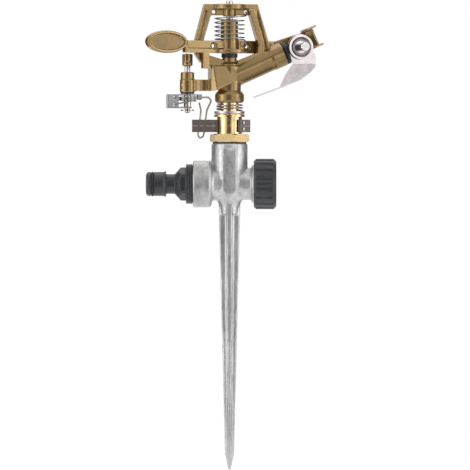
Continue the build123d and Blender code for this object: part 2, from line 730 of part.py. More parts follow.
def make_spoon():
    """Curved vane across the jet between two fins that stand out past it."""
    at_spoon = Pos(spoon_x, 0, spoon_z) * Rot(0, -barrel_tilt, 0)
    half, u = spoon_height / 2, spoon_half
    back = FilletPolyline((-u + 0.8, 6.6), (-u + 0.8, 1.2), (u - 3.2, -3.4), radius=3.0)
    vane = extrude(Pos(0, 0, -half + 0.2) * trace(back, spoon_vane), spoon_height - 0.4)
    plan = [(-u, -2.0), (-u + 2.4, -5.4), (u, -5.4), (u + 0.8, -1.0), (-u + 3.4, 4.4), (-u + 2.6, 7.2),
            (-u, 7.2)]
    fins = [upright(plan, side * half - spoon_fin / 2, side * half + spoon_fin / 2) for side in (-1, 1)]
    return at_spoon * (vane + fins[0] + fins[1])


def make_trip_lug():
    """Lug under the left beam that the trip hammer catches."""
    width = arm_flange_width / 2
    return upright([(-trip_lug_outer, -width), (-trip_lug_inner, -width), (-trip_lug_inner, trip_lug_back),
                    (-trip_lug_outer, trip_lug_back)], arm_low_z - trip_lug_drop, arm_low_z + 1)


def make_arm():
    """Impact arm, with the left half laid along -X before it is turned to rest on the legs."""
    left = make_paddle() + make_left_beam() + make_trip_lug() + make_arm_hub()
    arm = Rot(0, 0, arm_heading) * left + make_right_beam() + make_spoon()
    arm -= rod(pin_dia + 1.2, arm_low_z - 1, arm_sleeve_top_z + 1)
    arm -= rod(bushing_dia, arm_low_z - 1, arm_low_z + bushing_length)
    arm -= rod(bushing_dia, arm_sleeve_top_z - bushing_length, arm_sleeve_top_z + 1)
    hole = Rot(90, 0, 0) * Cylinder(ear_hole_dia / 2, 12)
    recess = Rot(90, 0, 0) * Cylinder(ear_hole_dia, 4)
    for side in (-1, 1):
        at_ear = Rot(0, 0, arm_heading) * Pos(side * arm_ear_x, 0, arm_low_z + arm_ear_hole_lift)
        arm -= at_ear * hole
        for face in (-1, 1):
            arm -= at_ear * Pos(0, face * (2 + arm_ear_plate / 2), 0) * recess
    return arm


def make_arm_bushings():
    """Plastic bushes at both ends of the arm's sleeve."""
    starts = (arm_low_z, arm_sleeve_top_z - bushing_length)
    return [ring(bushing_dia, pin_dia + 2 * fit_gap, low, low + bushing_length) for low in starts]


def make_arm_spring():
    """Torsion spring round the sleeve, hooked into the arm below and the bridge seat above."""
    r = spring_coil_dia / 2
    low = arm_top_z + spring_wire / 2 + 0.5
    body = coil(spring_wire, spring_coil_dia, low, spring_pitch, spring_turns)
    high = low + spring_pitch * spring_turns
    hooks = ((high, seat_ear_x, seat_low_z + ear_hole_lift), (low, r + 0.8, arm_low_z + arm_ear_hole_lift))
    for end, out, hook in hooks:
        body += Pos(r, 0, end) * Sphere(spring_wire / 2)
        body += bent_wire(spring_wire, [(r, 0, end), (out, -2.8, (end + hook) / 2), (out, -2.4, hook),
                                        (out, 1.2, hook)], 0)
    return body


def make_trip_hammer():
    """Hammer on top of the trip pin, with a tongue towards the arm's lug."""
    r = hammer_dia / 2
    low, top = hammer_low_z, hammer_top_z
    hub = turned((0, low), (r - 1.0, low), (r, low + 1.0), (r, top - 0.4), (r - 0.4, top), (0, top))
    tongue = Rot(0, 0, hammer_tongue_turn) * upright(
        [(0, -1.9), (hammer_tongue, -1.5), (hammer_tongue, 1.5), (0, 1.9)], low + 3.0, top - 0.3)
    return at_trip_pin * (hub + tongue - rod(trip_pin_dia, low - 1, top + 1))


def make_trip_pin():
    r = trip_pin_dia / 2
    groove = clip_z + clip_thick
    return at_trip_pin * turned((0, trip_pin_low_z), (r - 0.6, trip_pin_low_z), (r, trip_pin_low_z + 0.6),
                                (r, clip_z), (r - 0.6, clip_z), (r - 0.6, groove), (r, groove),
                                (r, hammer_top_z - 0.5), (r - 0.5, hammer_top_z), (0, hammer_top_z))


def make_trip_washer():
    low = trip_boss_low_z - trip_washer_thick
    return at_trip_pin * ring(trip_boss_dia - 1.0, trip_pin_dia + 2 * fit_gap, low, trip_boss_low_z)


def make_trip_bracket():
    """Bent steel bracket: face with two holes, two ears on the pin, eye for the trip wire."""
    half, t = bracket_width / 2, bracket_sheet
    left, right, bend = bracket_left_x, trip_axis_x + 2.6, trip_axis_x - 2
    ear = [(left, -half), (bend, -half), (right, -2.4), (right, 2.4), (bend, half), (left, half)]
    top = upright(ear, bracket_top_z - t, bracket_top_z)
    low = upright(ear, bracket_low_z, bracket_low_z + t)
    face = upright([(left, -half), (bracket_face_right_x, -half), (bracket_face_right_x, -half + t),
                    (left + t, -half + t), (left + t, half), (left, half)], bracket_low_z, bracket_top_z)
    hole = Rot(90, 0, 0) * Cylinder(0.9, 3)
    face -= [Pos(left + bracket_hole_in, -half, z) * hole
             for z in (bracket_low_z + bracket_hole_lift, bracket_top_z - bracket_hole_lift)]
    along_eye = Pos(0, 0, trip_wire_axis_z) * Rot(0, 90, 0)
    eye = along_eye * rod(3.4, eye_start_x, eye_start_x + eye_length)
    end = eye_start_x + eye_length
    neck = upright([(right - 1, -1.5), (end, -1.5), (end, 1.5), (right - 1, 1.5)],
                   bracket_top_z - t, bracket_top_z)
    body = top + low + face + neck + eye
    body -= at_trip_pin * rod(trip_pin_dia + 0.02, bracket_low_z - 1, bracket_top_z + 1)
    return body - along_eye * rod(trip_wire_dia + 2 * fit_gap, eye_start_x - 1, end + 1)


def make_trip_bushing():
    low, top = bracket_low_z + bracket_sheet + seal_gap, bracket_top_z - bracket_sheet - seal_gap
    return at_trip_pin * ring(trip_bushing_dia, trip_pin_dia + 0.02, low, top)


def make_trip_spring():
    """Spring coiled round the bushing, hooked in the bracket's face in front, with its tail behind."""
    wire, r = trip_spring_wire, trip_spring_dia / 2
    high = bracket_top_z - bracket_sheet - wire / 2 - seal_gap
    low = high - trip_spring_pitch * trip_spring_turns
    body = Rot(0, 0, -90) * coil(wire, trip_spring_dia, low, trip_spring_pitch, trip_spring_turns)
    hole_x = bracket_left_x + bracket_hole_in - trip_axis_x
    hole_z = bracket_low_z + bracket_hole_lift
    in_front = -bracket_width / 2 - wire / 2 - seal_gap
    body += Pos(0, -r, low) * Sphere(wire / 2) + Pos(0, r, high) * Sphere(wire / 2)
    hook = [(hole_x, in_front, hole_z), (hole_x, in_front + 1.8, hole_z)]
    body += bent_wire(wire, [(free_gap, -r, low)] + hook, 0.6)
    body += bent_wire(wire, [(free_gap, r, high), (hole_x, bracket_width / 2 - 1.0, high - 1.2)], 0)
    return at_trip_pin * body


def make_trip_clip():
    """Retaining clip in the groove of the trip pin."""
    disc = ring(clip_dia, trip_pin_dia - 1.16, clip_z + 0.03, clip_z + clip_thick - 0.03)
    mouth = upright([(0, -1.2), (6, -1.8), (6, 1.8), (0, 1.2)], clip_z - 1, clip_z + 2)
    return at_trip_pin * Rot(0, 0, 90) * (disc - mouth)


def make_trip_wire():
    """Trigger wire hanging from its cross axle to the long tabs, bent as a narrow loop."""
    z, low = trip_wire_axis_z, trip_wire_axis_z - trip_wire_length
    start = eye_start_x + 0.3
    points = [(start, z), (-14.6, z), (-12.7, z - 2.3), (-15.7, z - 8.6), (-16.5, z - 14.0),
              (-17.2, low + 5.4), (-18.2, low + 1.2), (-20.5, low - 0.2), (-21.9, low + 1.9),
              (-21.6, low + 6.0), (-20.4, z - 14.0), (-19.8, z - 8.5), (-21.1, z - 3.4)]
    return bent_wire(trip_wire_dia, [(x, 0, h) for x, h in points], 0.9)


def from_screw(*points):
    """(x, z) points in the head's plane, given from the deflector's screw."""
    return [(screw_x + x, screw_z + z) for x, z in points]


def make_deflector():
    """Polished sheet: round ear, cheek, splayed blade and a flap across the jet."""
    crease = [(-5.2, -crease_drop), (10.8, -crease_drop)]
    ear = plate_y(from_screw(*crease, (10.9, -7.5), (8.8, -0.8), (0, 0), (-8.1, -2.9)),
                  cheek_face_y, cheek_back_y)
    ear += toward_viewer * rod(dish_dia + 0.8, -cheek_back_y, -cheek_face_y)
    tip = (-15.4, -crease_drop - 16.6)
    outline = [(10.1, -13.7), (7.0, -17.2), (0.0, -22.4), (-9.0, -26.1), tip, (-13.2, -23.9), (-10.5, -18.6),
               (-7.5, -14.2)]
    blade = plate_y(from_screw(*crease, *outline), -sheet, 0)
    fold = Pos(0, cheek_back_y, screw_z - crease_drop)
    blade = fold * Rot(-blade_splay, 0, 0) * fold.inverse() * Pos(0, cheek_back_y, 0) * blade
    front = cheek_back_y - flap_forward
    run, rise = cos(radians(flap_slope)), sin(radians(flap_slope))
    end_x, end_z = tip[0] - flap_length * run, tip[1] - flap_length * rise
    inner_x, inner_z = tip[0] + flap_lap, tip[1] + flap_lap * rise
    outline = from_screw((end_x, end_z), (inner_x, inner_z), (inner_x - 0.3, inner_z + sheet),
                         (end_x - 0.3, end_z + sheet))
    side = Plane.XZ.offset(-front) * make_face(Polyline(*outline, close=True))
    across = (sin(radians(head_heading)), cos(radians(head_heading)), 0)
    flap = extrude(side, flap_depth, dir=across)
    return ear + blade + flap - toward_viewer * rod(screw_dia + 2 * fit_gap, 0, 20)


def make_deflector_washer():
    """Dished friction washer between the cheek and the screw's head."""
    r, hole = dish_dia / 2, screw_dia / 2 + fit_gap
    low, t = -dish_back_y, 0.7
    rim = low + dish_height
    return toward_viewer * turned((hole, low), (r - 3.9, low), (r - 2.1, low + 0.5), (r - 0.9, rim - 0.8),
                                  (r, rim - 0.6), (r, rim), (r - 1.4, rim), (r - 2.7, low + 0.5 + t),
                                  (r - 4.1, low + t), (hole, low + t))


def make_deflector_screw():
    """Screw in the lug with a thick neck and a slotted knurled head."""
    s, neck, head = screw_dia / 2, screw_neck_dia / 2, screw_head_dia / 2
    seat = -dish_back_y + 0.7 + seal_gap
    end = seat + screw_reach
    body = turned((0, -lug_inner_y + 0.4), (s, -lug_inner_y + 0.4), (s, seat), (neck, seat),
                  (neck, end - screw_head_length), (head, end - screw_head_length + 0.4),
                  (head, end - 0.4), (head - 0.4, end), (0, end))
    notch = rod(0.8, end - screw_head_length - 1, end + 1)
    body -= [Rot(0, 0, 360 / screw_teeth * n) * Pos(head + 0.1, 0, 0) * notch for n in range(screw_teeth)]
    slot = Pos(0, 0, end) * Box(2 * head + 1, 1.1, 1.6)
    return toward_viewer * (body - slot)


def grouped(solids):
    return Compound(children=list(solids))


def head_parts():
    """Pieces that are modelled with the barrel in the X, Z plane."""
    return {
        "bearing_tube": make_bearing_tube(),
        "bearing_washers": grouped(make_bearing_washers()),
        "bearing_top_washer": make_top_washer(),
        "bearing_spring": make_bearing_spring(),
        "friction_collar_upper": make_collar(upper_collar_z),
        "friction_collar_lower": make_collar(lower_collar_z),
        "head_body": make_head_body(),
        "nozzle": make_nozzle(),
        "fulcrum_pin": make_fulcrum_pin(),
        "pivot_washer": make_pivot_washer(),
        "impact_arm": make_arm(),
        "arm_bushings": grouped(make_arm_bushings()),
        "arm_spring": make_arm_spring(),
        "trip_hammer": make_trip_hammer(),
        "trip_pin": make_trip_pin(),
        "trip_washer": make_trip_washer(),
        "trip_bracket": make_trip_bracket(),
        "trip_bushing": make_trip_bushing(),
        "trip_spring": make_trip_spring(),
        "trip_clip": make_trip_clip(),
        "trip_wire": make_trip_wire(),
        "deflector": make_deflector(),
        "deflector_washer": make_deflector_washer(),
        "deflector_screw": make_deflector_screw(),
    }


def stand_parts():
    return {
        "spike_tee": make_spike_tee(),
        "hose_connector": make_hose_connector(),
        "connector_o_ring": make_o_ring(),
        "connector_gasket": make_connector_gasket(),
        "end_cap": make_end_cap(),
        "cap_gasket": make_cap_gasket(),
        "bearing_nipple": make_bearing_nipple(),
        "nipple_gasket": make_nipple_gasket(),
    }


os.makedirs("parts", exist_ok=True)
for name, shape in stand_parts().items():
    export_step(shape, f"parts/{name}.step")
for name, shape in head_parts().items():
    export_step(Rot(0, 0, head_heading) * shape, f"parts/{name}.step")
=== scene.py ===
import json
import math

import bmesh
import bpy
from mathutils import Matrix, Vector


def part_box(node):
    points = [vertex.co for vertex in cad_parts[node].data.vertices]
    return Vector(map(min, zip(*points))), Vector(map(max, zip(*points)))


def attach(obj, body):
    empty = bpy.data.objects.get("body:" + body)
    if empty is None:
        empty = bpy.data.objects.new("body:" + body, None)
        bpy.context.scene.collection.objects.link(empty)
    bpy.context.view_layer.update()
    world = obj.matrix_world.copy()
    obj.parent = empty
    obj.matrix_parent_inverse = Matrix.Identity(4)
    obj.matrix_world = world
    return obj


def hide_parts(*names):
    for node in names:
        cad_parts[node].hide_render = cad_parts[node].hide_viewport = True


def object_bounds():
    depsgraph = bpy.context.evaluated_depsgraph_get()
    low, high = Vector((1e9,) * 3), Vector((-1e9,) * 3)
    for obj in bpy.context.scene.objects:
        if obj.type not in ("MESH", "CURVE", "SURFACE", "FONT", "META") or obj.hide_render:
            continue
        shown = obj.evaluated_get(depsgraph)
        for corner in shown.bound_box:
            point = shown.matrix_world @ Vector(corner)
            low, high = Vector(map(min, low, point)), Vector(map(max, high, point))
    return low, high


bl_info = {
    "name": "Garden Sprinkler Dressing",
    "version": (1, 0, 0),
    "blender": (4, 5, 0),
    "location": "View3D > Sidebar > Sprinkler",
    "description": "Rounds an impact sprinkler's castings, gives every piece its finish and lights it",
    "category": "Object",
}

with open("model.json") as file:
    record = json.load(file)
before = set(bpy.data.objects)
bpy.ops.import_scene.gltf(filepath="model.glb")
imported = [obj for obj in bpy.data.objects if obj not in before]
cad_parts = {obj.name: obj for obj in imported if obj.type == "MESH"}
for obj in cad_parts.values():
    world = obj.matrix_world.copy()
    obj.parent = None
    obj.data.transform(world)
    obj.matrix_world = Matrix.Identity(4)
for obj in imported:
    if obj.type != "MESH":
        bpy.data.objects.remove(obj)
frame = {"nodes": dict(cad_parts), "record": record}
cad_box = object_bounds()

MM = 0.001
WELD_DISTANCE = 0.001 * MM

# Sockets of a Mix node that mixes colours
MIX_FACTOR, MIX_FIRST, MIX_SECOND, MIX_RESULT = 0, 6, 7, 2

# Name, place, width and height in metres, and watts of each lamp
LAMPS = (("left_softbox", (-1.30, -0.72, 0.12), (0.60, 1.50), 7.0),
         ("right_softbox", (1.38, -0.55, 0.12), (0.50, 1.50), 6.0),
         ("front_softbox", (0.60, -1.34, 0.36), (0.50, 0.40), 1.0),
         ("top_softbox", (0.0, 0.25, 1.25), (0.90, 0.90), 3.0))

# Name, direction round the object in degrees, and width in metres of each dark wall
FLAGS = (("front_flag", -3.0, 1.3), ("left_flag", -122.0, 1.6), ("right_flag", 122.0, 1.6))
FLAG_DISTANCE, FLAG_HEIGHT, FLAG_MIDDLE_Z = 1.6, 2.2, 0.1
FLOOR_RADIUS, FLOOR_DROP, FLOOR_GLOW = 0.3, 0.05 * MM, 0.5


# Node trees

class Finish:
    """A material with a Principled shader, and short ways to add the nodes that feed it."""

    def __init__(self, name, color, metallic, roughness, **sockets):
        self.material = bpy.data.materials.new(name)
        self.material.use_nodes = True
        self.tree = self.material.node_tree
        self.shader = self.tree.nodes["Principled BSDF"]
        self.shader.inputs["Base Color"].default_value = (*color, 1.0)
        self.shader.inputs["Metallic"].default_value = metallic
        self.shader.inputs["Roughness"].default_value = roughness
        for socket, value in sockets.items():
            self.shader.inputs[socket.replace("_", " ")].default_value = value
        self.place = self.add("ShaderNodeTexCoord").outputs["Object"]

    def add(self, kind, **inputs):
        node = self.tree.nodes.new(kind)
        for socket, value in inputs.items():
            self.feed(node, socket.replace("_", " "), value)
        return node

    def feed(self, node, socket, value):
        if isinstance(value, bpy.types.NodeSocket):
            self.tree.links.new(value, node.inputs[socket])
        else:
            node.inputs[socket].default_value = value

    def stretched(self, scale):
        """Object coordinates, stretched along the axes."""
        mapping = self.add("ShaderNodeMapping", Vector=self.place)
        mapping.inputs["Scale"].default_value = scale
        return mapping.outputs["Vector"]

    def noise(self, scale, detail, roughness=0.55, place=None):
        node = self.add("ShaderNodeTexNoise", Vector=place or self.place, Scale=scale, Detail=detail,
                        Roughness=roughness)
        return node.outputs["Fac"]

    def cells(self, scale):
        node = self.add("ShaderNodeTexVoronoi", Vector=self.place, Scale=scale)
        return node.outputs["Color"]

    def graded(self, value, low, high, out_low=0.0, out_high=1.0):
        """The value taken from one range to another."""
        node = self.add("ShaderNodeMapRange", Value=value)
        ends = (("From Min", low), ("From Max", high), ("To Min", out_low), ("To Max", out_high))
        for socket, number in ends:
            node.inputs[socket].default_value = number
        return node.outputs["Result"]

    def mixed(self, factor, first, second, blend="MIX"):
        """Colour between two colours, each a socket or an (r, g, b)."""
        node = self.tree.nodes.new("ShaderNodeMix")
        node.data_type, node.blend_type = "RGBA", blend
        self.feed(node, MIX_FACTOR, factor)
        for socket, colour in ((MIX_FIRST, first), (MIX_SECOND, second)):
            self.feed(node, socket, colour if isinstance(colour, bpy.types.NodeSocket) else (*colour, 1.0))
        return node.outputs[MIX_RESULT]

    def color(self, socket):
        self.tree.links.new(socket, self.shader.inputs["Base Color"])

    def rough(self, socket):
        self.tree.links.new(socket, self.shader.inputs["Roughness"])

    def bumps(self, *layers):
        """Stacks (height, depth in mm) layers into the normal."""
        below = None
        for height, depth in layers:
            node = self.add("ShaderNodeBump", Height=height, Strength=1.0, Distance=depth * MM)
            if below:
                self.tree.links.new(below, node.inputs["Normal"])
            below = node.outputs["Normal"]
        self.tree.links.new(below, self.shader.inputs["Normal"])

    def edges(self, low, high):
        """Rises from 0 to 1 between two values of pointiness, which is 0.5 on a flat face."""
        return self.graded(self.add("ShaderNodeNewGeometry").outputs["Pointiness"], low, high)


def dark(color, share):
    return tuple(channel * share for channel in color)


def lighter(color, share, lift=0.0):
    return tuple(min(1.0, channel * share + lift) for channel in color)


def bronze_paint_finish(color, dish=None):
    """Metallic bronze paint on a casting, with a painted highlight along the edges, which also stands for
    worn paint, and painted shade in the corners.

    A dish is the (centre x, centre z, half width, half height) of a recess that gets painted shade, a darker
    tone inside it.
    """
    f = Finish("bronze_paint", color, 0.7, 0.3, Specular_IOR_Level=0.5, Coat_Weight=0.35, Coat_Roughness=0.22)
    cloud = f.graded(f.noise(90, 4), 0.35, 0.65)
    tone = f.mixed(cloud, dark(color, 0.86), color)
    flake = f.graded(f.cells(5200), 0.2, 1.0, 0.92, 1.06)
    tone = f.mixed(1.0, tone, flake, "MULTIPLY")
    # Painted shade: the tone is darker all over the inside of the dish and fades out at its rim
    if dish:
        x, z, wide, high = dish
        inside = f.add("ShaderNodeMapping", Vector=f.place)
        inside.inputs["Location"].default_value = (-x / wide, 0.0, -z / high)
        inside.inputs["Scale"].default_value = (1 / wide, 0.0, 1 / high)
        reach = f.add("ShaderNodeVectorMath", Vector=inside.outputs["Vector"])
        reach.operation = "LENGTH"
        shade = f.graded(reach.outputs["Value"], 0.92, 1.04, 0.66, 1.0)
        tone = f.mixed(1.0, tone, shade, "MULTIPLY")
    # Painted shade in the corners, and along the edges a painted highlight that also stands for worn paint
    painted_corner_shade, wear_and_painted_highlight_edges = f.edges(0.40, 0.485), f.edges(0.512, 0.565)
    tone = f.mixed(painted_corner_shade, dark(color, 0.35), tone)
    tone = f.mixed(wear_and_painted_highlight_edges, tone, lighter(color, 2.0, 0.12))
    f.color(tone)
    f.rough(f.graded(f.noise(700, 3), 0.3, 0.7, 0.26, 0.36))
    f.bumps((f.noise(900, 3), 0.012), (f.noise(260, 2), 0.035))
    return f.material


def zinc_finish(color):
    """As-cast zinc: dull grey skin with flow marks, fine pits and brighter rubbed edges."""
    f = Finish("zinc_casting", color, 0.8, 0.4, Specular_IOR_Level=0.5)
    flow = f.noise(60, 5, 0.65, f.stretched((2.2, 2.2, 0.35)))
    skin = f.mixed(f.graded(flow, 0.35, 0.68), dark(color, 0.66), lighter(color, 1.18))
    specks = f.graded(f.noise(1500, 2), 0.3, 0.42, 0.62, 1.0)
    skin = f.mixed(1.0, skin, specks, "MULTIPLY")
    wear_and_painted_highlight_edges, bright_zinc = f.edges(0.525, 0.60), (0.76, 0.76, 0.75)
    skin = f.mixed(wear_and_painted_highlight_edges, skin, bright_zinc)
    f.color(skin)
    f.rough(f.graded(f.noise(240, 4), 0.3, 0.7, 0.34, 0.5))
    f.bumps((f.noise(1300, 3), 0.08), (f.noise(330, 4, 0.6), 0.3), (f.noise(70, 2), 0.5))
    return f.material


def brass_finish(color):
    """Turned brass with fine tool rings and a slightly uneven colour."""
    f = Finish("brass", color, 1.0, 0.2)
    f.color(f.mixed(f.graded(f.noise(160, 3), 0.35, 0.65), dark(color, 0.82), color))
    f.rough(f.graded(f.noise(500, 2), 0.3, 0.7, 0.15, 0.28))
    rings = f.noise(1.0, 2, 0.5, f.stretched((40, 40, 5200)))
    f.bumps((rings, 0.012))
    return f.material


def steel_finish(name, color, roughness, streak, depth):
    """Bright steel: wire, pin or sheet, with streaks along the way it was drawn or polished."""
    f = Finish(name, color, 1.0, roughness)
    f.color(f.mixed(f.graded(f.noise(220, 2), 0.35, 0.65), dark(color, 0.86), color))
    streaks = f.noise(1.0, 3, 0.6, f.stretched(streak))
    f.rough(f.graded(streaks, 0.3, 0.7, roughness * 0.75, roughness * 1.4))
    f.bumps((streaks, depth))
    return f.material


def dark_steel_finish(color):
    """Oil-blackened spring steel with brown bloom and rolling streaks."""
    f = Finish("dark_spring_steel", color, 0.6, 0.4)
    bloom, brown = f.graded(f.noise(210, 4), 0.4, 0.66), (0.15, 0.105, 0.085)
    tone = f.mixed(bloom, color, brown)
    streaks = f.noise(1.0, 3, 0.6, f.stretched((160, 160, 2600)))
    f.color(f.mixed(f.graded(streaks, 0.45, 0.75), tone, lighter(color, 1.45)))
    f.rough(f.graded(f.noise(420, 3), 0.3, 0.7, 0.34, 0.52))
    f.bumps((streaks, 0.003))
    return f.material


def plastic_finish(name, color, roughness, grain):
    """Moulded plastic with a fine grain and faint scuffs."""
    f = Finish(name, color, 0.0, roughness, Specular_IOR_Level=0.5)
    scuffs = f.graded(f.noise(300, 4, 0.6, f.stretched((0.4, 2.0, 2.0))), 0.52, 0.74)
    f.color(f.mixed(scuffs, color, lighter(color, 1.6, 0.006)))
    f.rough(f.graded(f.noise(600, 3), 0.3, 0.7, roughness * 0.85, roughness * 1.25))
    f.bumps((f.noise(2600, 2), grain))
    return f.material


def stage_finish(name, grey, roughness):
    """Plain grey material for the floor and the dark walls."""
    material = bpy.data.materials.new(name)
    material.use_nodes = True
    shader = material.node_tree.nodes["Principled BSDF"]
    shader.inputs["Base Color"].default_value = (grey, grey, grey, 1.0)
    shader.inputs["Roughness"].default_value = roughness
    return material, shader


# Pieces

def dress(node, material):
    """Gives a CAD node that keeps its shape a finish."""
    mesh = frame["nodes"][node].data
    mesh.materials.clear()
    mesh.materials.append(material)


def body_of(node):
    for body, members in frame["record"]["behaviour"]["bodies"].items():
        if node in members:
            return body
    raise ValueError(f"no body holds {node}")


def evaluated_mesh(piece):
    graph = bpy.context.evaluated_depsgraph_get()
    return bpy.data.meshes.new_from_object(piece.evaluated_get(graph))


def stand_for(node, piece, material):
    """Finishes a piece that is seen in a node's place and rides with its body."""
    piece.data.shade_smooth()
    piece.data.materials.clear()
    piece.data.materials.append(material)
    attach(piece, body_of(node))
    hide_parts(node)


def rounded_copy(node, name, voxel, passes, material):
    """Copy of a node with its cast or moulded corners rounded off, standing for that node."""
    mesh = frame["nodes"][node].data.copy()
    build = bmesh.new()
    build.from_mesh(mesh)
    bmesh.ops.remove_doubles(build, verts=build.verts, dist=WELD_DISTANCE)
    build.to_mesh(mesh)
    build.free()
    piece = bpy.data.objects.new(name, mesh)
    bpy.context.scene.collection.objects.link(piece)
    melt = piece.modifiers.new("melt", "REMESH")
    melt.mode, melt.voxel_size = "VOXEL", voxel
    soften = piece.modifiers.new("soften", "SMOOTH")
    soften.factor, soften.iterations = 0.5, passes
    piece.data = evaluated_mesh(piece)
    piece.modifiers.clear()
    stand_for(node, piece, material)


def arm_spring(material):
    """Torsion spring round the arm's sleeve, from the arm's top up to the hole in the bridge's right ear.

    It stands for the solid of the same spring, between the same hooks, with one more turn, which spreads
    under the bridge.
    """
    wire, coil, pitch, turns = 0.9 * MM, 10.1 * MM, 2.87 * MM, 5
    head_heading = math.radians(12.0)
    arm_ear, bridge_ear = coil + 0.8 * MM, 11.1 * MM
    behind_ear, before_arm_ear, before_bridge_ear = 1.2 * MM, -2.4 * MM, -2.2 * MM
    low_bend = (coil + 0.6 * MM, -2.2 * MM)
    low_bend_drop, high_bend_y, high_bend_drop = 1.2 * MM, -2.6 * MM, 1.0 * MM
    seat_rise, bridge_drop = 4.5 * MM, 2.6 * MM
    turn_steps, spread_steps, spread_angle = 36, 16, math.radians(160)
    corner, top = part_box("arm_spring")
    low_hook, high_hook = corner.z + wire / 2, top.z - wire / 2
    seat = low_hook + seat_rise
    under_bridge = high_hook - bridge_drop

    def at(angle, radius, height):
        return (radius * math.cos(angle), radius * math.sin(angle), height)

    path = [(arm_ear, behind_ear, low_hook), (arm_ear, before_arm_ear, low_hook),
            (*low_bend, seat - low_bend_drop)]
    path += [at(math.tau * step / turn_steps, coil, seat) for step in range(turn_steps // 2)]
    path += [at(math.pi + math.tau * step / turn_steps, coil, seat + pitch * step / turn_steps)
             for step in range(turns * turn_steps)]
    last = path[-1][2]
    for step in range(spread_steps + 1):
        share = step / spread_steps
        path.append(at(math.pi + spread_angle * share, coil + (bridge_ear - coil) * share,
                       last + (under_bridge - last) * share ** 2))
    path += [(bridge_ear, high_bend_y, high_hook - high_bend_drop),
             (bridge_ear, before_bridge_ear, high_hook), (bridge_ear, behind_ear, high_hook)]

    curve = bpy.data.curves.new("wound_wire", "CURVE")
    curve.dimensions, curve.bevel_depth, curve.bevel_resolution = "3D", wire / 2, 4
    curve.use_fill_caps = True
    spline = curve.splines.new("POLY")
    spline.points.add(len(path) - 1)
    turn = Matrix.Rotation(head_heading, 3, "Z")
    for point, place in zip(spline.points, path):
        point.co = (*(turn @ Vector(place)), 1.0)
    former = bpy.data.objects.new("wound_wire", curve)
    bpy.context.scene.collection.objects.link(former)
    piece = bpy.data.objects.new("arm_spring_wire", evaluated_mesh(former))
    bpy.data.objects.remove(former)
    bpy.context.scene.collection.objects.link(piece)
    stand_for("arm_spring", piece, material)


# Sizes and colours that a user would change

class SprinklerFinishes(bpy.types.PropertyGroup):
    """Colours of the finishes."""
    paint: bpy.props.FloatVectorProperty(
        name="Bronze paint", description="Paint on the head, arm and hammer", subtype="COLOR", size=3,
        min=0.0, max=1.0, default=(0.315, 0.203, 0.076))
    zinc: bpy.props.FloatVectorProperty(
        name="Zinc", description="Skin of the spike and tee", subtype="COLOR", size=3, min=0.0, max=1.0,
        default=(0.60, 0.605, 0.60))
    brass: bpy.props.FloatVectorProperty(
        name="Brass", description="Bearing nipple and tube", subtype="COLOR", size=3, min=0.0, max=1.0,
        default=(0.85, 0.625, 0.32))
    plastic: bpy.props.FloatVectorProperty(
        name="Black plastic", description="Hose connector and end cap", subtype="COLOR", size=3,
        min=0.0, max=1.0, default=(0.040, 0.041, 0.047))


class SprinklerForms(bpy.types.PropertyGroup):
    """Sizes of the rounding that the castings get."""
    bronze_voxel: bpy.props.FloatProperty(
        name="Bronze casting grain", unit="LENGTH", default=0.36 * MM, min=0.2 * MM, max=2 * MM,
        description="Size of the cells that the bronze castings are rounded with")
    zinc_voxel: bpy.props.FloatProperty(
        name="Zinc casting grain", description="Size of the cells that the zinc casting is rounded with",
        unit="LENGTH", default=0.55 * MM, min=0.3 * MM, max=2 * MM)
    plastic_voxel: bpy.props.FloatProperty(
        name="Moulding grain", description="Size of the cells that the plastic parts are rounded with",
        unit="LENGTH", default=0.30 * MM, min=0.2 * MM, max=2 * MM)
    sheet_voxel: bpy.props.FloatProperty(
        name="Pressing grain", description="Size of the cells that the trip bracket's edges are rounded with",
        unit="LENGTH", default=0.20 * MM, min=0.15 * MM, max=1 * MM)
    passes: bpy.props.IntProperty(
        name="Softening passes", description="How often the castings' corners are softened", default=4, min=0,
        max=30)
    plastic_passes: bpy.props.IntProperty(
        name="Moulding passes", description="How often the plastic parts' corners are softened", default=2,
        min=0, max=30)


class SprinklerStudio(bpy.types.PropertyGroup):
    """Camera and light."""
    frame_width: bpy.props.FloatProperty(
        name="Frame width", description="Width that the picture covers at the riser", unit="LENGTH",
        default=0.3196)
    lens: bpy.props.FloatProperty(
        name="Lens", description="Focal length in mm; long, because the photograph shows no perspective",
        default=500.0, min=50.0)
    aim: bpy.props.FloatVectorProperty(
        name="Aim", description="Point in the middle of the picture", subtype="TRANSLATION", unit="LENGTH",
        size=3, default=(3.74 * MM, 0.0, 6.12 * MM))
    background: bpy.props.FloatProperty(
        name="Background", description="Brightness of what is seen behind the object", default=1.0)
    ambient: bpy.props.FloatProperty(
        name="Ambient", description="Brightness of the room for the object's lighting", default=0.5)


# Operators

class SPRINKLER_OT_bronze_castings(bpy.types.Operator):
    """Rounds and paints the head, the arm and the trip hammer"""
    bl_idname = "sprinkler.bronze_castings"
    bl_label = "Bronze castings"

    def execute(self, context):
        forms = context.scene.sprinkler_forms
        color = context.scene.sprinkler_finishes.paint
        paint = bronze_paint_finish(color)
        # Place and size of the painted shade in the paddle's dish
        paddle_painted_shade = (-42.8 * MM, 137.4 * MM, 11.6 * MM, 6.0 * MM)
        arm_paint = bronze_paint_finish(color, paddle_painted_shade)
        castings = (("head_body", "head_casting", paint), ("impact_arm", "arm_casting", arm_paint),
                    ("trip_hammer", "hammer_casting", paint))
        for node, name, coat in castings:
            rounded_copy(node, name, forms.bronze_voxel, forms.passes, coat)
        return {"FINISHED"}


class SPRINKLER_OT_zinc_casting(bpy.types.Operator):
    """Rounds the spike and tee and gives them a cast zinc skin"""
    bl_idname = "sprinkler.zinc_casting"
    bl_label = "Zinc casting"

    def execute(self, context):
        forms = context.scene.sprinkler_forms
        zinc = zinc_finish(context.scene.sprinkler_finishes.zinc)
        rounded_copy("spike_tee", "spike_tee_casting", forms.zinc_voxel, forms.passes, zinc)
        return {"FINISHED"}


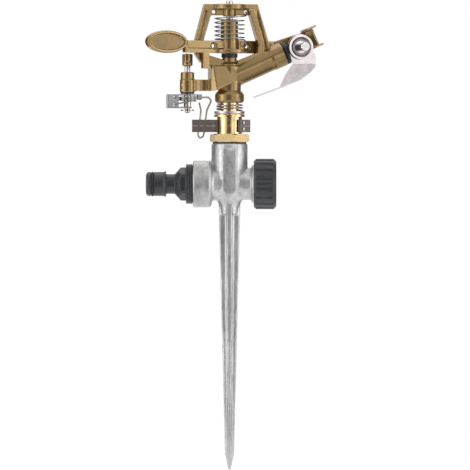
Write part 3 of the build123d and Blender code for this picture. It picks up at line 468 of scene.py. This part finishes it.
class SPRINKLER_OT_brass_parts(bpy.types.Operator):
    """Turned brass parts"""
    bl_idname = "sprinkler.brass_parts"
    bl_label = "Brass parts"

    def execute(self, context):
        brass = brass_finish(context.scene.sprinkler_finishes.brass)
        for node in ("bearing_nipple", "bearing_tube"):
            dress(node, brass)
        return {"FINISHED"}


class SPRINKLER_OT_plastic_parts(bpy.types.Operator):
    """Hose connector, end cap, bushes, washers and seals"""
    bl_idname = "sprinkler.plastic_parts"
    bl_label = "Plastic and rubber"

    def execute(self, context):
        black = plastic_finish("black_plastic", context.scene.sprinkler_finishes.plastic, 0.34, 0.012)
        forms = context.scene.sprinkler_forms
        for node, name in (("hose_connector", "connector_moulding"), ("end_cap", "cap_moulding")):
            rounded_copy(node, name, forms.plastic_voxel, forms.plastic_passes, black)
        bearing = plastic_finish("bearing_plastic", (0.018, 0.018, 0.018), 0.45, 0.01)
        for node in ("bearing_washers", "pivot_washer", "arm_bushings", "trip_washer", "nozzle"):
            dress(node, bearing)
        rubber = plastic_finish("black_rubber", (0.012, 0.012, 0.012), 0.62, 0.02)
        for node in ("connector_o_ring", "connector_gasket", "cap_gasket", "nipple_gasket"):
            dress(node, rubber)
        return {"FINISHED"}


class SPRINKLER_OT_steel_parts(bpy.types.Operator):
    """Pins, springs, washer, bracket, clip and trip wire"""
    bl_idname = "sprinkler.steel_parts"
    bl_label = "Steel parts"

    def execute(self, context):
        turned = steel_finish("turned_steel", (0.56, 0.54, 0.53), 0.2, (60, 60, 1500), 0.003)
        for node in ("fulcrum_pin", "trip_pin", "trip_bushing", "deflector_screw"):
            dress(node, turned)
        wire = steel_finish("spring_wire", (0.34, 0.32, 0.31), 0.2, (600, 600, 600), 0.003)
        for node in ("bearing_spring", "trip_spring", "trip_clip", "trip_wire"):
            dress(node, wire)
        arm_spring(wire)
        forms = context.scene.sprinkler_forms
        sheet = steel_finish("bracket_steel", (0.27, 0.26, 0.26), 0.14, (300, 60, 60), 0.002)
        rounded_copy("trip_bracket", "trip_bracket_pressing", forms.sheet_voxel, forms.passes, sheet)
        washer = steel_finish("washer_steel", (0.62, 0.55, 0.54), 0.35, (60, 60, 900), 0.003)
        dress("bearing_top_washer", washer)
        return {"FINISHED"}


class SPRINKLER_OT_dark_steel_parts(bpy.types.Operator):
    """Friction collars"""
    bl_idname = "sprinkler.dark_steel_parts"
    bl_label = "Dark spring steel"

    def execute(self, context):
        oiled = dark_steel_finish((0.105, 0.086, 0.080))
        for node in ("friction_collar_upper", "friction_collar_lower"):
            dress(node, oiled)
        return {"FINISHED"}


class SPRINKLER_OT_deflector(bpy.types.Operator):
    """Polished deflector sheet and its dished washer"""
    bl_idname = "sprinkler.deflector"
    bl_label = "Deflector"

    def execute(self, context):
        polished = steel_finish("polished_sheet", (0.53, 0.485, 0.495), 0.16, (160, 60, 30), 0.002)
        for node in ("deflector", "deflector_washer"):
            dress(node, polished)
        return {"FINISHED"}


class SPRINKLER_OT_stage(bpy.types.Operator):
    """Pale floor, soft studio light and the photograph's camera"""
    bl_idname = "sprinkler.stage"
    bl_label = "Stage"

    def execute(self, context):
        studio = context.scene.sprinkler_studio
        self.floor(cad_box[0].z - FLOOR_DROP, studio.background)
        self.room(context.scene, studio)
        for name, place, size, watts in LAMPS:
            self.lamp(name, place, size, watts)
        for name, azimuth, width in FLAGS:
            self.flag(name, math.radians(azimuth), width)
        self.camera(context.scene, studio)
        return {"FINISHED"}

    def floor(self, height, brightness):
        bpy.ops.mesh.primitive_circle_add(
            vertices=96, radius=FLOOR_RADIUS, fill_type="NGON", location=(0, 0, height))
        floor = bpy.context.active_object
        floor.name = "floor"
        material, shader = stage_finish("pale_floor", 0.9, 0.9)
        shader.inputs["Emission Color"].default_value = (1.0, 1.0, 1.0, 1.0)
        shader.inputs["Emission Strength"].default_value = FLOOR_GLOW * brightness
        floor.data.materials.append(material)

    def room(self, scene, studio):
        world = bpy.data.worlds.new("studio")
        scene.world = world
        world.use_nodes = True
        tree = world.node_tree
        shown = tree.nodes["Background"]
        shown.inputs["Color"].default_value = (1.0, 1.0, 1.0, 1.0)
        shown.inputs["Strength"].default_value = studio.background
        lit = tree.nodes.new("ShaderNodeBackground")
        lit.inputs["Strength"].default_value = studio.ambient
        rays = tree.nodes.new("ShaderNodeLightPath")
        seen = rays.outputs["Is Camera Ray"]
        for ray in ("Is Glossy Ray", "Is Transmission Ray"):
            either = tree.nodes.new("ShaderNodeMath")
            either.operation = "MAXIMUM"
            tree.links.new(seen, either.inputs[0])
            tree.links.new(rays.outputs[ray], either.inputs[1])
            seen = either.outputs[0]
        mix = tree.nodes.new("ShaderNodeMixShader")
        tree.links.new(seen, mix.inputs[0])
        tree.links.new(lit.outputs[0], mix.inputs[1])
        tree.links.new(shown.outputs[0], mix.inputs[2])
        tree.links.new(mix.outputs[0], tree.nodes["World Output"].inputs["Surface"])

    def lamp(self, name, place, size, watts):
        light = bpy.data.lights.new(name, "AREA")
        light.shape, light.size, light.size_y, light.energy = "RECTANGLE", *size, watts
        lamp = bpy.data.objects.new(name, light)
        lamp.location = place
        lamp.rotation_euler = (-Vector(place)).to_track_quat("-Z", "Y").to_euler()
        lamp.visible_camera = False
        bpy.context.scene.collection.objects.link(lamp)

    def flag(self, name, azimuth, width):
        """Dark wall standing at a direction round the object, which only reflections see."""
        x, y = FLAG_DISTANCE * math.sin(azimuth), -FLAG_DISTANCE * math.cos(azimuth)
        bpy.ops.mesh.primitive_plane_add(
            size=1.0, location=(x, y, FLAG_MIDDLE_Z), rotation=(math.radians(90), 0, azimuth))
        wall = bpy.context.active_object
        wall.name = name
        wall.scale = (width, FLAG_HEIGHT, 1.0)
        material, _ = stage_finish(name, 0.16, 1.0)
        wall.data.materials.append(material)
        wall.visible_camera = wall.visible_diffuse = wall.visible_shadow = False

    def camera(self, scene, studio):
        data = bpy.data.cameras.new("camera")
        data.lens, data.sensor_width = studio.lens, 36.0
        distance = studio.frame_width * studio.lens / data.sensor_width
        data.clip_start, data.clip_end = 0.01, 50.0
        camera = bpy.data.objects.new("camera", data)
        camera.location = Vector(studio.aim) + Vector((0.0, -distance, 0.0))
        camera.rotation_euler = (math.radians(90), 0.0, 0.0)
        scene.collection.objects.link(camera)
        scene.camera = camera
        scene.view_settings.view_transform = "Standard"


OPERATORS = (SPRINKLER_OT_bronze_castings, SPRINKLER_OT_zinc_casting, SPRINKLER_OT_brass_parts,
             SPRINKLER_OT_plastic_parts, SPRINKLER_OT_steel_parts, SPRINKLER_OT_dark_steel_parts,
             SPRINKLER_OT_deflector, SPRINKLER_OT_stage)
GROUPS = (SprinklerFinishes, SprinklerForms, SprinklerStudio)


class SPRINKLER_PT_panel(bpy.types.Panel):
    """Lists the steps that dress the sprinkler"""
    bl_idname = "SPRINKLER_PT_panel"
    bl_label = "Garden sprinkler"
    bl_space_type = "VIEW_3D"
    bl_region_type = "UI"
    bl_category = "Sprinkler"

    def draw(self, context):
        for group in (context.scene.sprinkler_finishes, context.scene.sprinkler_forms,
                      context.scene.sprinkler_studio):
            box = self.layout.box()
            for name in group.__annotations__:
                box.prop(group, name)
        for operator in OPERATORS:
            self.layout.operator(operator.bl_idname)


def register():
    for cls in GROUPS + OPERATORS + (SPRINKLER_PT_panel,):
        bpy.utils.register_class(cls)
    bpy.types.Scene.sprinkler_finishes = bpy.props.PointerProperty(type=SprinklerFinishes)
    bpy.types.Scene.sprinkler_forms = bpy.props.PointerProperty(type=SprinklerForms)
    bpy.types.Scene.sprinkler_studio = bpy.props.PointerProperty(type=SprinklerStudio)


def unregister():
    for name in ("sprinkler_finishes", "sprinkler_forms", "sprinkler_studio"):
        delattr(bpy.types.Scene, name)
    for cls in reversed(GROUPS + OPERATORS + (SPRINKLER_PT_panel,)):
        bpy.utils.unregister_class(cls)


def main():
    register()
    for operator in OPERATORS:
        group, name = operator.bl_idname.split(".")
        getattr(getattr(bpy.ops, group), name)()


if __name__ == "__main__":
    main()
